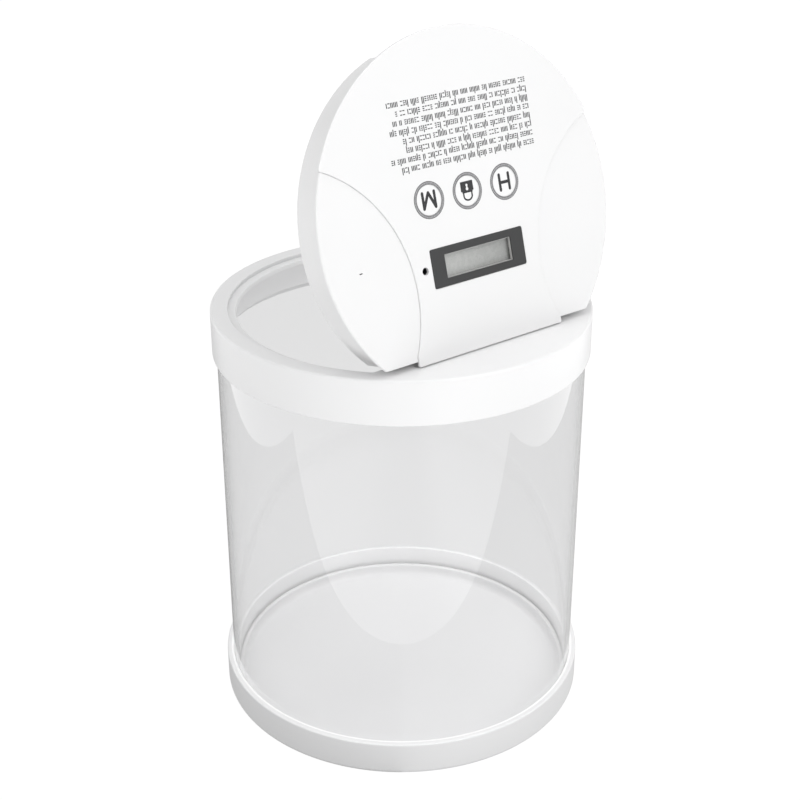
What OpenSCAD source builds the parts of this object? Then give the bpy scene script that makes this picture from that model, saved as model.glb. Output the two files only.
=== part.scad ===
// Time-lock storage jar: a clear cylinder in a white base cup, a white collar,
// and a hinged lid that carries the display, three keys, the cells and a motor latch.
// Millimetres. +Z up, hinge at the back (+Y), latch and user at the front (-Y).
// The lid is described closed, flush in the collar, and turned open about the hinge.

/* [Jar] */
// Outer radius of the collar ring
collar_r = 80; // [76:0.5:84]
// Height of the collar's top face
top_z = 184; // [150:1:240]
// Outer radius of the clear cylinder
tube_r = 78.15; // [77:0.05:78.15]
// Inner radius of the clear cylinder
tube_bore_r = 76.3; // [76.3:0.05:77]
// Outer radius of the base cup
base_r = 81.1; // [80:0.1:84]
// Height of the base cup's rim
base_h = 15.4; // [12:0.1:20]
// Thickness of the jar's floor
floor_t = 2.2; // [1.6:0.1:3]

/* [Lid] */
// How far the lid stands open, in degrees
open_angle = 73.9; // [0:0.1:73.9]
// Radius of the lid's flange
flange_r = 71; // [70:0.1:71.5]
// Radius of the raised centre panel
panel_r = 71.8; // [71:0.1:72]
// Radius of the plug under the flange
plug_r = 68.5; // [67:0.1:68.6]
// Depth of the whole lid
lid_depth = 17.4; // [15:0.1:17.6]

/* [Keys] */
// Distance from key to key
key_pitch = 18.65; // [17:0.05:20]
// Radius of a key cap
key_r = 5.74; // [5:0.02:5.76]
// Radius of the ring pressed around each key
key_ring_r = 6.8; // [6.4:0.1:7.2]

/* [Hidden] */
$fn = 96;
e = 0.05;

hinge_y = 55.4;
hinge_z = top_z - 4.8;

ledge_z = top_z - 1.8;      // the lid's flange lies just over this ledge
mouth_r = 69.15;
recess_r = 72.6;
sleeve_r = 74.2;
chord_y = 50.8;             // front edge of the flat shelf that holds the hinge

flange_z = top_z - 1.6;     // underside of the flange
ceiling_z = top_z - 2.0;    // underside of the lid's top wall
panel_z = top_z - 0.6;      // underside of the raised panel
panel_top = top_z + 0.6;
plug_z = top_z - lid_depth; // underside of the plug
plug_in_r = 66.6;
wing_y = 49.0;
tongue_x = 36.2;
tongue_y = 51.3;

lcd_x = 0.2;
lcd_y = 16.5;
jack = [26.5, 16.3];
key_y = -9.5;
key_x0 = 0.8;
board_top = 178.1;
board_z = 176.5;
cover_in_z = 168.6;
pinion_y = -44;
pinion_z = 174.5;
bolt_travel = 13.5;
gear_m = 0.5;
gear_n = 12;
cell_z = 175.2;
cell_x = [-41.5, -53];

// ---------- helpers ----------

module lid_pose() {
  translate([0, hinge_y, hinge_z]) rotate([-open_angle, 0, 0]) translate([0, -hinge_y, -hinge_z]) children();
}

// removes the sharp outer corner at (x, y) of a 2-D shape; sx, sy point out of the shape
module corner(x, y, r, sx, sy) {
  difference() {
    translate([sx > 0 ? x - r : x - 1, sy > 0 ? y - r : y - 1]) square([r + 1, r + 1]);
    translate([x - sx * r, y - sy * r]) circle(r);
  }
}

// fills the inner corner at (x, y); sx, sy point away from the material
module cove(x, y, r, sx, sy) {
  difference() {
    translate([sx > 0 ? x - e : x - r, sy > 0 ? y - e : y - r]) square([r + e, r + e]);
    translate([x + sx * r, y + sy * r]) circle(r);
  }
}

module rrect(x0, y0, x1, y1, r) {
  translate([x0 + r, y0]) square([x1 - x0 - 2 * r, y1 - y0]);
  translate([x0, y0 + r]) square([x1 - x0, y1 - y0 - 2 * r]);
  for (x = [x0 + r, x1 - r]) for (y = [y0 + r, y1 - r]) translate([x, y]) circle(r, $fn = 32);
}

module box(x0, y0, z0, x1, y1, z1) {
  translate([x0, y0, z0]) cube([x1 - x0, y1 - y0, z1 - z0]);
}

// the two side wings of the lid's face, grown by g
wing_c = [88.4, 23.7];
wing_r = 57.4;
wing_shift = 0.5;

module wing_side(g, dx) {
  intersection() {
    union() {
      translate([wing_c[0] + dx, wing_c[1]]) circle(wing_r + g);
      translate([tongue_x + 0.3 - g, 44]) square([60, 7.5]);
    }
    translate([0, -60]) square([90, 111.5]);
  }
}

module wings(g) {
  wing_side(g, wing_shift);
  mirror([1, 0]) wing_side(g, -wing_shift);
}

module panel_2d() {
  difference() {
    circle(panel_r);
    translate([-80, tongue_y]) square([160, 40]);
    wings(0.2);
  }
}

// ---------- jar ----------

module base_cup() color([0.93, 0.93, 0.94]) {
  rotate_extrude() difference() {
    square([base_r, base_h]);
    translate([tube_bore_r - 0.2, floor_t]) square([2.1, base_h]);
    difference() {
      translate([-1, floor_t]) square([sleeve_r + 1, base_h]);
      cove(sleeve_r, floor_t, 2.2, -1, 1);
    }
    translate([sleeve_r - 1, 7]) square([3.5, base_h]);
    corner(base_r, 0, 2, 1, -1);
    corner(base_r, base_h, 0.8, 1, 1);
    translate([40, -1]) square([32, 1.6]);
  }
}

module jar_tube() color([0.92, 0.95, 0.96, 0.3]) {
  rotate_extrude() translate([tube_bore_r, floor_t]) square([tube_r - tube_bore_r, top_z - 4.2 - floor_t]);
}

module collar_ring() color([0.95, 0.95, 0.96]) {
  difference() {
    union() {
      rotate_extrude() difference() {
        translate([mouth_r, top_z - 19]) square([collar_r - mouth_r, 19]);
        corner(collar_r, top_z, 1, 1, 1);
        corner(collar_r, top_z - 19, 0.3, 1, -1);
        // seat of the clear cylinder
        translate([tube_bore_r - 0.1, top_z - 20]) square([tube_r - tube_bore_r + 0.2, 15.9]);
        // below the sleeve
        translate([mouth_r - 1, top_z - 20]) square([tube_bore_r - mouth_r + 1.2, 4]);
        // inside the sleeve, under the ledge
        translate([mouth_r - 1, top_z - 20]) square([sleeve_r - mouth_r + 1, 16.2]);
        // recess for the lid
        translate([mouth_r - 1, ledge_z]) square([recess_r - mouth_r + 1, 4]);
      }
      // hinge shelf
      intersection() {
        rotate_extrude() difference() {
          translate([0, top_z - 8]) square([75, 8]);
        }
        union() {
          box(-60, chord_y, top_z - 3, 60, 80, top_z);
          box(-60, chord_y, top_z - 8, 60, chord_y + 1.8, top_z);
        }
      }
      intersection() {
        rotate_extrude() translate([0, top_z - 9.5]) square([75, 9.5]);
        box(-38, chord_y, top_z - 9.5, 38, 60.6, top_z);
      }
    }
    // rounded edge that the lid's tongue rolls over
    difference() {
      box(-36.9, chord_y - 1, hinge_z, 36.9, hinge_y, top_z + 1);
      translate([-40, hinge_y, hinge_z]) rotate([0, 90, 0]) cylinder(r = 5.5, h = 80);
    }
    for (s = [-1, 1]) {
      // ear pocket, open at the top
      xe = s > 0 ? 23.7 : -33;
      box(xe, chord_y - 1, top_z - 10, xe + 9.3, 56.9, top_z + 1);
      translate([xe, hinge_y, hinge_z]) rotate([0, 90, 0]) cylinder(r = 3.7, h = 9.3);
      box(xe, hinge_y - 3.7, top_z - 10, xe + 9.3, hinge_y + 3.7, hinge_z);
      // spring pocket, open below
      xs = s > 0 ? 15 : -24;
      translate([xs, hinge_y, hinge_z]) rotate([0, 90, 0]) cylinder(r = 3.1, h = 9);
      box(xs, hinge_y - 3.1, top_z - 10, xs + 9, hinge_y + 3.1, hinge_z);
      // pin bore, from the middle pocket to a blind end
      xp = s > 0 ? 11 : -36.2;
      translate([xp, hinge_y, hinge_z]) rotate([0, 90, 0]) cylinder(r = 1.02, h = 25.2, $fn = 32);
    }
    // middle pocket, open below
    box(-12, hinge_y - 2.6, top_z - 10, 12, 58, top_z - 3);
  }
}

module hinge_pins() color([0.75, 0.76, 0.78]) {
  for (s = [-1, 1]) translate([s > 0 ? 12.2 : -35.8, hinge_y, hinge_z]) rotate([0, 90, 0]) cylinder(r = 1.0, h = 23.6, $fn = 32);
}

// close-wound torsion springs, one leg on the shelf and one on the lid's ear
module torsion_spring(x0, s) {
  translate([x0, hinge_y, hinge_z]) {
    for (i = [0:7]) translate([s * i * 0.94, 0, 0]) rotate([0, 90, 0]) rotate_extrude() translate([2.0, 0]) circle(0.5, $fn = 20);
    // leg against the top of the shelf pocket
    translate([0, 1.9, 0]) cylinder(r = 0.4, h = 1.7, $fn = 20);
    // leg beside the ear
    translate([s * 6.58, 0, 0]) rotate([-open_angle, 0, 0]) translate([0, -1.9, 0]) rotate([180, 0, 0]) cylinder(r = 0.4, h = 2.3, $fn = 20);
  }
}

module hinge_springs() color([0.6, 0.6, 0.62]) {
  torsion_spring(15.6, 1);
  torsion_spring(-15.6, -1);
}

// ---------- lid ----------

module plug_solid() {
  intersection() {
    rotate_extrude()
      polygon([[0, plug_z], [plug_r - 0.6, plug_z], [plug_r - 0.2, plug_z + 0.4], [plug_r, flange_z + e], [0, flange_z + e]]);
    box(-90, -90, plug_z - 1, 90, 48.5, top_z);
  }
}

module cavity() {
  difference() {
    translate([0, 0, plug_z - 1]) cylinder(r = plug_in_r, h = ceiling_z - plug_z + 1);
    box(-90, 46.7, plug_z - 2, 90, 90, top_z);
    box(-24.8, -90, plug_z - 2, 24.8, -55.2, top_z);
  }
}

module boss(x, y, r, z0) {
  translate([x, y, z0]) cylinder(r = r, h = ceiling_z - z0 + e, $fn = 48);
}

board_xy = [[-30.3, -15], [31.3, -15], [-30.3, 25.5], [31.3, 25.5]];
cover_xy = [[-44, -43], [44, -43], [-46, 36.4], [46, 36.4]];

module lid_shell() color([0.95, 0.95, 0.96]) lid_pose() {
  difference() {
    union() {
      // flange and wings
      intersection() {
        rotate_extrude() difference() {
          translate([0, flange_z]) square([flange_r, top_z - flange_z]);
          corner(flange_r, top_z, 1.1, 1, 1);
        }
        box(-90, -90, 0, 90, wing_y, 200);
      }
      difference() {
        plug_solid();
        cavity();
        // the front wall steps back behind the latch
        box(-23, -90, plug_z - 2, 23, -57, flange_z);
      }
      // cell compartment walls
      difference() {
        box(-60, -27.2, cover_in_z, -34.4, 27.2, ceiling_z + e);
        box(-59, -26.2, cover_in_z - 1, -35.4, 26.2, ceiling_z);
      }
      for (p = board_xy) boss(p[0], p[1], 2.6, board_top);
      for (p = cover_xy) boss(p[0], p[1], 3.1, cover_in_z + 1.6);
      // motor saddle
      for (x = [9, 25]) box(x, -49, pinion_z + 5, x + 3, -39, ceiling_z + e);
      // hinge ears
      for (x = [-32.7, 24]) {
        translate([x, hinge_y, hinge_z]) rotate([0, 90, 0]) cylinder(r = 3.4, h = 8.7);
        box(x, 48, hinge_z - 2, x + 8.7, hinge_y, hinge_z + 2);
      }
    }
    // seat of the raised panel
    difference() {
      translate([0, 0, panel_z]) cylinder(r = 80, h = 3);
      translate([0, 0, panel_z - 1]) linear_extrude(height = 5) wings(0);
    }
    // openings under the panel
    box(lcd_x - 18.1, lcd_y - 6.1, ceiling_z - 1, lcd_x + 18.1, lcd_y + 6.1, panel_z + 1);
    for (i = [-1:1]) translate([key_x0 + i * key_pitch, key_y, ceiling_z - 1]) cylinder(r = 6.0, h = 4);
    translate([jack[0], jack[1], ceiling_z - 1]) cylinder(r = 2.55, h = 4, $fn = 48);
    // sounder slot
    box(54.25, 10.65, ceiling_z - 1, 55.75, 11.15, top_z + 1);
    // screw bores
    for (p = board_xy) translate([p[0], p[1], board_top - 1]) cylinder(r = 0.82, h = 4.4, $fn = 32);
    for (p = cover_xy) translate([p[0], p[1], cover_in_z]) cylinder(r = 1.02, h = 10.5, $fn = 32);
    // bolt slot in the front wall
    box(-4.3, -58, 176.8, 4.3, -54, 180.3);
    // pin bores in the ears
    translate([-40, hinge_y, hinge_z]) rotate([0, 90, 0]) cylinder(r = 1.05, h = 80, $fn = 32);
  }
}

module top_panel() color([0.97, 0.97, 0.98]) lid_pose() {
  difference() {
    translate([0, 0, panel_z]) linear_extrude(height = panel_top - panel_z) panel_2d();
    // display opening
    box(lcd_x - 23.1, lcd_y - 7.6, panel_z - 1, lcd_x + 23.1, lcd_y + 7.6, panel_top + 1);
    // key openings and the ring pressed around each
    for (i = [-1:1]) translate([key_x0 + i * key_pitch, key_y, 0]) {
      translate([0, 0, panel_z - 1]) cylinder(r = 5.8, h = 4);
      translate([0, 0, panel_top - 0.3]) difference() {
        cylinder(r = key_ring_r, h = 1);
        translate([0, 0, -1]) cylinder(r = key_ring_r - 0.3, h = 3);
      }
    }
    translate([jack[0], jack[1], panel_z - 1]) cylinder(r = 1.45, h = 4, $fn = 48);
  }
}

module display_bezel() color([0.27, 0.28, 0.3]) lid_pose() {
  translate([lcd_x, lcd_y, panel_z]) difference() {
    linear_extrude(height = 1.4) rrect(-23, -7.5, 23, 7.5, 0.7);
    box(-16.5, -4.6, -1, 16.5, 4.6, 3);
  }
}

module display_lens() color([0.85, 0.88, 0.9, 0.3]) lid_pose() {
  box(lcd_x - 18, lcd_y - 6, panel_z - 0.8, lcd_x + 18, lcd_y + 6, panel_z);
}

module lcd_module() color([0.7, 0.72, 0.7]) lid_pose() {
  box(lcd_x - 21, lcd_y - 8.5, ceiling_z - 2, lcd_x + 21, lcd_y + 8.5, ceiling_z);
  box(lcd_x - 20, lcd_y - 7.5, board_top, lcd_x + 20, lcd_y + 7.5, ceiling_z - 2);
}

module main_board() color([0.1, 0.4, 0.25]) lid_pose() {
  difference() {
    box(-33.2, -17.8, board_z, 34.2, 28.3, board_top);
    for (p = board_xy) translate([p[0], p[1], board_z - 1]) cylinder(r = 1.1, h = 4, $fn = 32);
  }
}

module board_screws() color([0.75, 0.76, 0.78]) lid_pose() {
  for (p = board_xy) translate([p[0], p[1], board_z]) difference() {
    union() {
      cylinder(r = 0.8, h = 4.4, $fn = 32);
      translate([0, 0, -1.2]) cylinder(r = 1.7, h = 1.2, $fn = 48);
    }
    for (a = [0, 90]) rotate([0, 0, a]) translate([-0.2, -1.0, -1.7]) cube([0.4, 2, 1]);
  }
}

module key(i) {
  translate([key_x0 + i * key_pitch, key_y, 0]) {
    translate([0, 0, 181.4]) cylinder(r = key_r, h = panel_top - 181.4);
    difference() {
      translate([0, 0, 180.9]) cylinder(r = 6.9, h = 0.9);
      translate([0, 0, 180.4]) cylinder(r = 4.8, h = 0.9);
    }
  }
}

module key_hours() color([0.96, 0.96, 0.97]) lid_pose() key(-1);
module key_lock() color([0.96, 0.96, 0.97]) lid_pose() key(0);
module key_minutes() color([0.96, 0.96, 0.97]) lid_pose() key(1);

module key_switches() color([0.2, 0.2, 0.21]) lid_pose() {
  for (i = [-1:1]) translate([key_x0 + i * key_pitch, key_y, board_top]) {
    box(-3, -3, 0, 3, 3, 1.8);
    cylinder(r = 1.7, h = 2.6, $fn = 48);
  }
}

module power_jack() color([0.12, 0.12, 0.13]) lid_pose() {
  translate([jack[0], jack[1], 0]) difference() {
    union() {
      translate([0, 0, board_top]) cylinder(r = 3.0, h = ceiling_z - board_top, $fn = 48);
      translate([0, 0, ceiling_z - 1]) cylinder(r = 2.5, h = panel_z - ceiling_z + 1, $fn = 48);
    }
    translate([0, 0, board_top + 0.8]) cylinder(r = 1.3, h = 8, $fn = 48);
  }
}

module buzzer() color([0.14, 0.14, 0.15]) lid_pose() {
  translate([54, 10.5, ceiling_z - 3.4]) difference() {
    cylinder(r = 6, h = 3.4);
    translate([0, 0, 1.4]) cylinder(r = 1.2, h = 4, $fn = 32);
  }
}

// ---------- latch ----------

module lock_motor() color([0.78, 0.78, 0.76]) lid_pose() {
  translate([0, pinion_y, pinion_z]) rotate([0, 90, 0]) difference() {
    union() {
      // gearbox
      translate([-5, -6, 7]) cube([10, 12, 9]);
      // can with two flats
      intersection() {
        translate([0, 0, 15.9]) cylinder(r = 6, h = 15.1);
        translate([-5, -7, 15]) cube([10, 14, 20]);
      }
      translate([0, 0, 31 - e]) cylinder(r = 2.4, h = 0.9, $fn = 48);
      // bearing boss
      translate([0, 0, 6]) cylinder(r = 2.4, h = 1.2, $fn = 48);
    }
    translate([0, 0, 5]) cylinder(r = 1.55, h = 3.5, $fn = 48);
  }
}

pitch = PI * gear_m;

module motor_pinion() color([0.93, 0.92, 0.88]) lid_pose() {
  translate([0, pinion_y, pinion_z]) {
    rotate([0, 90, 0]) {
      translate([0, 0, -2.5]) cylinder(r = 2.4, h = 5, $fn = 48);
      translate([0, 0, -3]) cylinder(r = 1.5, h = 11.2, $fn = 48);
    }
    for (i = [0:gear_n - 1]) rotate([i * 360 / gear_n, 0, 0]) translate([-2.5, 0, 0]) rotate([90, 0, 90])
      linear_extrude(height = 5) polygon([[-0.46, -2.2], [-0.31, -3.0], [-0.16, -3.42], [0.16, -3.42], [0.31, -3.0], [0.46, -2.2]]);
  }
}

bolt_lo = pinion_z + 2.58;
bolt_hi = 180.0;

// slides out under the collar's ledge
module latch_bolt() color([0.8, 0.81, 0.82]) lid_pose() {
  difference() {
    box(-4, -57.5, bolt_lo, 4, -27.5, bolt_hi);
    // lead-in on the tip
    translate([-5, -57.5, bolt_hi]) rotate([45, 0, 0]) translate([0, -0.6, -0.6]) cube([10, 1.2, 1.2]);
    // spaces between the rack's teeth, at the pinion's own pitch
    for (k = [-1:10]) translate([-3, pinion_y + k * pitch, 0]) rotate([90, 0, 90])
      linear_extrude(height = 6) polygon([[-0.22, bolt_lo + 1.1], [0.22, bolt_lo + 1.1], [0.475, bolt_lo + 0.42], [0.64, bolt_lo - 0.02], [-0.64, bolt_lo - 0.02], [-0.475, bolt_lo + 0.42]]);
  }
}

// hangs from the lid's top wall and is open over the pinion
module bolt_guide() color([0.9, 0.9, 0.88]) lid_pose() {
  difference() {
    box(-5.6, -54.6, 176.35, 5.6, -27, ceiling_z);
    box(-4.06, -60, bolt_lo - 0.06, 4.06, -20, bolt_hi + 0.06);
    box(-4.06, -48.6, 170, 4.06, -39.4, bolt_lo + 1);
    box(-3.2, -52, bolt_hi, 3.2, -30, ceiling_z + 1);
  }
}

// ---------- underside ----------

module cover_2d() {
  difference() {
    circle(plug_in_r - 0.2);
    translate([-90, 46.5]) square([180, 60]);
    translate([-25, -90]) square([50, 35]);
  }
}

module door_2d(g) {
  rrect(-59.6 - g, -26.8 - g, -34.8 + g, 26.8 + g, 6 + g);
}

module bottom_cover() color([0.94, 0.94, 0.95]) lid_pose() {
  difference() {
    union() {
      translate([0, 0, plug_z + 0.2]) linear_extrude(height = cover_in_z - plug_z - 0.2) cover_2d();
      for (p = cover_xy) translate([p[0], p[1], cover_in_z - e]) cylinder(r = 3.1, h = 1.6 + e, $fn = 48);
    }
    translate([0, 0, plug_z - 1]) linear_extrude(height = 4) door_2d(0.15);
    for (p = cover_xy) {
      translate([p[0], p[1], plug_z - 1]) cylinder(r = 1.2, h = 10, $fn = 32);
      translate([p[0], p[1], plug_z - 1]) cylinder(r = 2.4, h = 3.1, $fn = 48);
    }
  }
}

module cover_screws() color([0.75, 0.76, 0.78]) lid_pose() {
  for (p = cover_xy) translate([p[0], p[1], plug_z + 2.1]) difference() {
    union() {
      cylinder(r = 1.0, h = 8.5, $fn = 32);
      translate([0, 0, -1.5]) cylinder(r = 2.2, h = 1.5, $fn = 48);
    }
    for (a = [0, 90]) rotate([0, 0, a]) translate([-0.3, -1.4, -2.5]) cube([0.6, 2.8, 1.8]);
  }
}

module battery_door() color([0.94, 0.94, 0.95]) lid_pose() {
  difference() {
    union() {
      translate([0, 0, plug_z + 0.2]) linear_extrude(height = cover_in_z - plug_z - 0.2) door_2d(0);
      // inner rim that centres the door in the compartment
      difference() {
        box(-58.8, -20, cover_in_z - e, -35.6, 20, cover_in_z + 0.6);
        box(-57.8, -30, cover_in_z - 1, -36.6, 30, cover_in_z + 1);
      }
    }
    // nail recess
    translate([-47.2, 21.5, plug_z - 3.2]) rotate([0, 90, 0]) cylinder(r = 4.4, h = 12, center = true);
  }
}

module cell(x, s) {
  translate([x, 0, cell_z]) rotate([s > 0 ? -90 : 90, 0, 0]) {
    translate([0, 0, -20.2]) cylinder(r = 5.25, h = 43.6);
    translate([0, 0, 23.3]) cylinder(r = 1.9, h = 1.0, $fn = 48);
  }
}

module battery_cells() color([0.2, 0.45, 0.3]) lid_pose() {
  cell(cell_x[0], 1);
  cell(cell_x[1], -1);
}

module battery_springs() color([0.8, 0.8, 0.8]) lid_pose() {
  for (c = [[cell_x[0], 1], [cell_x[1], -1]]) translate([c[0], 0, cell_z]) rotate([c[1] > 0 ? -90 : 90, 0, 0])
    for (i = [0:6]) translate([0, 0, -25.34 + i * 0.78]) rotate_extrude() translate([3.6 - i * 0.2, 0]) circle(0.46, $fn = 20);
}

module battery_contacts() color([0.82, 0.82, 0.8]) lid_pose() {
  // single plates at one end, bridge at the other
  for (c = [[cell_x[0], -1], [cell_x[1], -1]]) translate([c[0] - 4.4, -26.2, 171]) cube([8.8, 0.4, 9.4]);
  translate([cell_x[1] - 4.4, 25.8, 171]) cube([cell_x[0] - cell_x[1] + 8.8, 0.4, 9.4]);
  translate([cell_x[0], 24.3, cell_z]) rotate([-90, 0, 0]) cylinder(r = 2.6, h = 1.6, $fn = 48);
  translate([cell_x[1], -24.3, cell_z]) rotate([90, 0, 0]) cylinder(r = 2.6, h = 1.6, $fn = 48);
}

base_cup();
jar_tube();
collar_ring();
hinge_pins();
hinge_springs();
lid_shell();
top_panel();
display_bezel();
display_lens();
lcd_module();
main_board();
board_screws();
key_hours();
key_lock();
key_minutes();
key_switches();
power_jack();
buzzer();
lock_motor();
motor_pinion();
latch_bolt();
bolt_guide();
bottom_cover();
cover_screws();
battery_door();
battery_cells();
battery_springs();
battery_contacts();
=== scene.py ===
import math
import random

import bpy
import bmesh
from mathutils import Vector, Matrix
from mathutils.geometry import delaunay_2d_cdt


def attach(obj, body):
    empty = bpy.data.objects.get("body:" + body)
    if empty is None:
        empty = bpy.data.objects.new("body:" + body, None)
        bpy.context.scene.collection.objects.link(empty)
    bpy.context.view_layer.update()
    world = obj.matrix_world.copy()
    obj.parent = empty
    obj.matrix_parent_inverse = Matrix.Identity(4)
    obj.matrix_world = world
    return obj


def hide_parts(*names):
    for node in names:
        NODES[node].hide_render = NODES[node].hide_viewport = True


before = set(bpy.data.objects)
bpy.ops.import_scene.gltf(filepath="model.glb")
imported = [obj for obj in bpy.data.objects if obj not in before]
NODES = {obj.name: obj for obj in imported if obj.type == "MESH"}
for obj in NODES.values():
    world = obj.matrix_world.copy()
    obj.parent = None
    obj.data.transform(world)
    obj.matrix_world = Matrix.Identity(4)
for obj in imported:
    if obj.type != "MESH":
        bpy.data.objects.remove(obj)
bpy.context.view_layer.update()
scene = bpy.context.scene

# ------------------------------------------------------------------ camera
cam_data = bpy.data.cameras.new("camera")
cam = bpy.data.objects.new("camera", cam_data)
scene.collection.objects.link(cam)
cam_data.sensor_width = 36.0
cam_data.lens = 67.72
cam_data.clip_start = 0.01
cam_data.clip_end = 50.0
yaw = math.radians(-0.06)
pitch = math.radians(25.97)
roll = math.radians(-0.07)
CAM = Vector((0.3565, 0.4656, 0.4230))
fwd_h = Vector((-CAM.x, -CAM.y, 0)).normalized()
fwd_h.rotate(Matrix.Rotation(-yaw, 3, "Z"))
fwd = (fwd_h * math.cos(pitch) + Vector((0, 0, -math.sin(pitch)))).normalized()
right = fwd.cross(Vector((0, 0, 1))).normalized()
up = right.cross(fwd).normalized()
rot = Matrix((right, up, -fwd)).transposed()
rot = rot @ Matrix.Rotation(roll, 3, "Z")
cam.matrix_world = Matrix.Translation(CAM) @ rot.to_4x4()
scene.camera = cam
scene.view_settings.view_transform = "Standard"
scene.view_settings.look = "None"

# ------------------------------------------------------------------ sizes, millimetres, lid closed
TOP = 184.0
HY, HZ, OPEN = 55.4, 179.2, 73.9
PANEL_Z, PANEL_TOP, FLANGE_Z, CEIL_Z, PLUG_Z = 183.4, 184.6, 182.4, 182.0, 166.6
COVER_IN = 168.6
LCD_X, LCD_Y = 0.2, 16.5
JACK = (26.5, 16.3)
KEY_Y, KEY_X0, PITCH = -9.5, 0.8, 18.65
BOARD_XY = [(-30.3, -15), (31.3, -15), (-30.3, 25.5), (31.3, 25.5)]
COVER_XY = [(-44, -43), (44, -43), (-46, 36.4), (46, 36.4)]
BODY_M = Matrix.Scale(0.001, 4)
LID_M = (BODY_M @ Matrix.Translation((0, HY, HZ)) @ Matrix.Rotation(math.radians(-OPEN), 4, "X")
         @ Matrix.Translation((0, -HY, -HZ)))


# ------------------------------------------------------------------ mesh helpers
def mesh_from(name, verts, faces):
    me = bpy.data.meshes.new(name)
    me.from_pydata([tuple(v) for v in verts], [], faces)
    bm = bmesh.new()
    bm.from_mesh(me)
    bmesh.ops.remove_doubles(bm, verts=bm.verts, dist=1e-5)
    bmesh.ops.recalc_face_normals(bm, faces=bm.faces)
    bm.to_mesh(me)
    bm.free()
    return me


def fillets(points, step=0.35, support=0.18):
    """A closed outline of (x, y) or (x, y, radius) corners, each rounded, with a short straight lead on both sides."""
    out = []
    n = len(points)
    for i in range(n):
        p0, p1, p2 = points[i - 1], points[i], points[(i + 1) % n]
        c = Vector((p1[0], p1[1]))
        r = p1[2] if len(p1) > 2 else 0.0
        a = Vector((p0[0], p0[1])) - c
        b = Vector((p2[0], p2[1])) - c
        la, lb = a.length, b.length
        a.normalize()
        b.normalize()
        ang = math.acos(max(-1, min(1, a.dot(b))))
        if r <= 0 or ang > math.pi - 1e-3:
            out.append((c.x, c.y))
            continue
        t = min(r / math.tan(ang / 2), 0.49 * la, 0.49 * lb)
        r = t * math.tan(ang / 2)
        mid = c + (a + b).normalized() * (r / math.sin(ang / 2))
        s, e = c + a * t, c + b * t
        v0, v1 = s - mid, e - mid
        sweep = math.atan2(v0.x * v1.y - v0.y * v1.x, v0.dot(v1))
        k = max(3, int(math.ceil(abs(sweep) * max(r, 0.5) / step)), int(math.ceil(abs(sweep) / 0.35)))
        if t + support < la * 0.5:
            q = c + a * (t + support)
            out.append((q.x, q.y))
        for j in range(k + 1):
            w = sweep * j / k
            out.append((mid.x + v0.x * math.cos(w) - v0.y * math.sin(w),
                        mid.y + v0.x * math.sin(w) + v0.y * math.cos(w)))
        if t + support < lb * 0.5:
            q = c + b * (t + support)
            out.append((q.x, q.y))
    return out


def lathe(name, points, seg=216, raw=False):
    """Turns a closed (r, z, fillet) outline around Z."""
    prof = points if raw else fillets(points)
    verts, rings = [], []
    for r, z in prof:
        if r < 1e-6:
            rings.append([len(verts)] * seg)
            verts.append((0, 0, z))
        else:
            rings.append(list(range(len(verts), len(verts) + seg)))
            verts += [(r * math.cos(2 * math.pi * i / seg), r * math.sin(2 * math.pi * i / seg), z) for i in range(seg)]
    faces = []
    n = len(prof)
    for k in range(n):
        a, b = rings[k], rings[(k + 1) % n]
        if a[0] == a[1] and b[0] == b[1]:
            continue
        for i in range(seg):
            j = (i + 1) % seg
            f = []
            for v in (a[i], a[j], b[j], b[i]):
                if v not in f:
                    f.append(v)
            if len(f) > 2:
                faces.append(tuple(f))
    return mesh_from(name, verts, faces)


def inset(loop, d):
    """Moves a loop towards its left by d, with mitred corners."""
    if abs(d) < 1e-9:
        return list(loop)
    n = len(loop)
    out = []
    for i in range(n):
        p, c, q = Vector(loop[i - 1]), Vector(loop[i]), Vector(loop[(i + 1) % n])
        e0, e1 = (c - p).normalized(), (q - c).normalized()
        n0, n1 = Vector((-e0.y, e0.x)), Vector((-e1.y, e1.x))
        m = n0 + n1
        k = max(1 + n0.dot(n1), 0.35)
        out.append((c.x + m.x * d / k, c.y + m.y * d / k))
    return out


def within(loop, x, y):
    inside = False
    x1, y1 = loop[-1]
    for x2, y2 in loop:
        if (y1 > y) != (y2 > y) and x < (x2 - x1) * (y - y1) / (y2 - y1) + x1:
            inside = not inside
        x1, y1 = x2, y2
    return inside


def area(loop):
    return 0.5 * sum(loop[i - 1][0] * loop[i][1] - loop[i][0] * loop[i - 1][1] for i in range(len(loop)))


def quarter(r, z, side, steps=4, support=0.12):
    """Inset and height of a rounded edge. side is 1 for the top edge, -1 for the bottom edge."""
    if r <= 0:
        return [(0.0, z)]
    pts = [(0.0, z - side * (r + support))]
    for j in range(steps + 1):
        w = math.pi / 2 * j / steps
        pts.append((r * (1 - math.cos(w)), z - side * r * (1 - math.sin(w))))
    pts.append((r + support, z))
    return pts if side > 0 else pts[::-1]


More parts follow.
